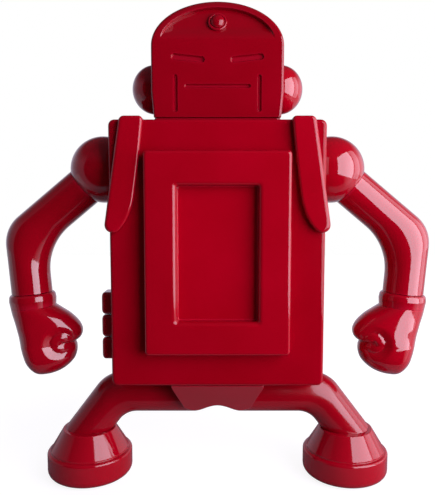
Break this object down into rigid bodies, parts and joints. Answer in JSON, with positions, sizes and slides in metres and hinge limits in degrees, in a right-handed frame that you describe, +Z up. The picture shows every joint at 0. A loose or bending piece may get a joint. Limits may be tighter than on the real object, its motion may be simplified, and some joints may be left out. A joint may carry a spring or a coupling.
{
  "type": "toy robot",
  "caption": "Glossy red toy robot with a picture-frame chest, round-topped head, ball shoulders, bent tube arms, closed fists, wide round boots and push keys on one side",
  "frame": {"origin": "on the floor, midway between the boots and midway through the depth", "axes": "+Z is up, the robot faces -Y, and its own right side is at -X"},
  "size_m": [0.2976, 0.09, 0.327],
  "materials": {
    "red_plastic": "deep red moulded plastic with a high gloss",
    "black_plastic": "black moulded plastic, matt",
    "rubber": "soft black rubber",
    "steel": "zinc plated steel",
    "cell": "plain dark sleeve over a metal cell",
    "board": "green circuit board laminate",
    "lead_sheath": "black sheathed twin lead"
  },
  "bodies": {
    "hips": {"leg_arch": "red_plastic", "pelvis_cover": "red_plastic", "waist_post": "black_plastic", "waist_clip": "steel", "hip_screw": "steel", "right_boot": "red_plastic", "left_boot": "red_plastic", "right_sole": "rubber", "left_sole": "rubber"},
    "torso": {"torso_shell": "red_plastic", "back_cover": "red_plastic", "chest_frame": "red_plastic", "chest_panel": "red_plastic", "right_strap": "red_plastic", "left_strap": "red_plastic", "waist_washer": "black_plastic", "neck_plate": "red_plastic", "right_shoulder_washer": "black_plastic", "left_shoulder_washer": "black_plastic", "battery_box": "black_plastic", "battery_1": "cell", "battery_2": "cell", "battery_door": "red_plastic", "battery_door_screw": "steel", "battery_lead": "lead_sheath", "speaker": "black_plastic", "speaker_lead": "lead_sheath", "circuit_board": "board", "key_dome_1": "rubber", "key_dome_2": "rubber", "key_dome_3": "rubber", "cover_screw_1": "steel", "cover_screw_2": "steel", "cover_screw_3": "steel", "cover_screw_4": "steel"},
    "head": {"head_front": "red_plastic", "head_rear": "red_plastic", "right_ear": "red_plastic", "left_ear": "red_plastic", "forehead_lamp": "red_plastic", "neck_post": "black_plastic", "neck_clip": "steel", "head_screw_1": "steel", "head_screw_2": "steel"},
    "right_arm_body": {"right_shoulder_ball": "red_plastic", "right_arm": "red_plastic", "right_shoulder_clip": "steel"},
    "left_arm_body": {"left_shoulder_ball": "red_plastic", "left_arm": "red_plastic", "left_shoulder_clip": "steel"},
    "right_hand": {"right_fist": "red_plastic", "right_cuff": "red_plastic", "right_wrist_peg": "black_plastic"},
    "left_hand": {"left_fist": "red_plastic", "left_cuff": "red_plastic", "left_wrist_peg": "black_plastic"},
    "top_key": {"key_1": "red_plastic"},
    "middle_key": {"key_2": "red_plastic"},
    "bottom_key": {"key_3": "red_plastic"}
  },
  "joints": [
    {"name": "waist_swivel", "type": "hinge", "parent": "hips", "child": "torso", "pos_m": [0, 0, 0.076], "axis": [0, 0, 1], "continuous": true},
    {"name": "neck_swivel", "type": "hinge", "parent": "torso", "child": "head", "pos_m": [0, 0, 0.249], "axis": [0, 0, 1], "continuous": true},
    {"name": "right_shoulder", "type": "hinge", "parent": "torso", "child": "right_arm_body", "pos_m": [-0.079, 0, 0.219], "axis": [1, 0, 0], "continuous": true},
    {"name": "left_shoulder", "type": "hinge", "parent": "torso", "child": "left_arm_body", "pos_m": [0.079, 0, 0.219], "axis": [1, 0, 0], "continuous": true},
    {"name": "right_wrist", "type": "hinge", "parent": "right_arm_body", "child": "right_hand", "pos_m": [-0.13204, 0, 0.1325], "axis": [0.0792, 0, -0.9969], "continuous": true},
    {"name": "left_wrist", "type": "hinge", "parent": "left_arm_body", "child": "left_hand", "pos_m": [0.13204, 0, 0.1325], "axis": [-0.0792, 0, -0.9969], "continuous": true},
    {"name": "top_key_press", "type": "slide", "parent": "torso", "child": "top_key", "axis": [1, 0, 0], "range_m": [0, 0.002], "stiffness_N_per_m": 400, "deforming": ["key_dome_1"]},
    {"name": "middle_key_press", "type": "slide", "parent": "torso", "child": "middle_key", "axis": [1, 0, 0], "range_m": [0, 0.002], "stiffness_N_per_m": 400, "deforming": ["key_dome_2"]},
    {"name": "bottom_key_press", "type": "slide", "parent": "torso", "child": "bottom_key", "axis": [1, 0, 0], "range_m": [0, 0.002], "stiffness_N_per_m": 400, "deforming": ["key_dome_3"]}
  ]
}
